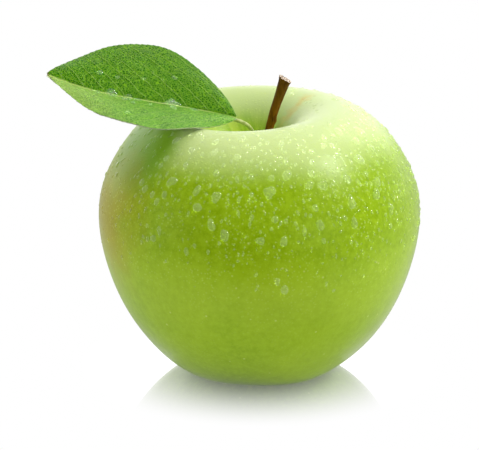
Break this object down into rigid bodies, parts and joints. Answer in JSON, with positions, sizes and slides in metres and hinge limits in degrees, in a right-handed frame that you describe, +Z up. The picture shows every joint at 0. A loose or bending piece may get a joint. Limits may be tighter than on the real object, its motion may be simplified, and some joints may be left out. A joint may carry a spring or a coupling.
{
  "type": "apple",
  "caption": "Green eating apple as picked, with a leaning woody stem, a folded leaf on its own stalk, and dried sepals and stamens in the basin underneath.",
  "frame": {"origin": "centre of the bottom of the bounding box, on the surface that the apple rests on; the fruit's own axis stands 5.95 mm to +X of it, because the leaf reaches out to -X", "axes": "+Z up along the fruit's axis from calyx to stem; +X away from the leaf, along the longest extent; -Y toward the side that the picture shows"},
  "size_m": [0.0913, 0.0794, 0.0806],
  "materials": {
    "green_apple_skin": "waxy satin skin over moist flesh",
    "brown_stem_bark": "dry bark, torn at the top",
    "green_leaf": "fresh leaf with a satin cuticle",
    "dried_sepal": "dried and matt",
    "dried_stamen": "dried and matt"
  },
  "bodies": {
    "root": {"fruit": "green_apple_skin", "stem": "brown_stem_bark", "leaf": "green_leaf", "sepal_1": "dried_sepal", "sepal_2": "dried_sepal", "sepal_3": "dried_sepal", "sepal_4": "dried_sepal", "sepal_5": "dried_sepal", "stamen_tuft": "dried_stamen"}
  },
  "joints": []
}
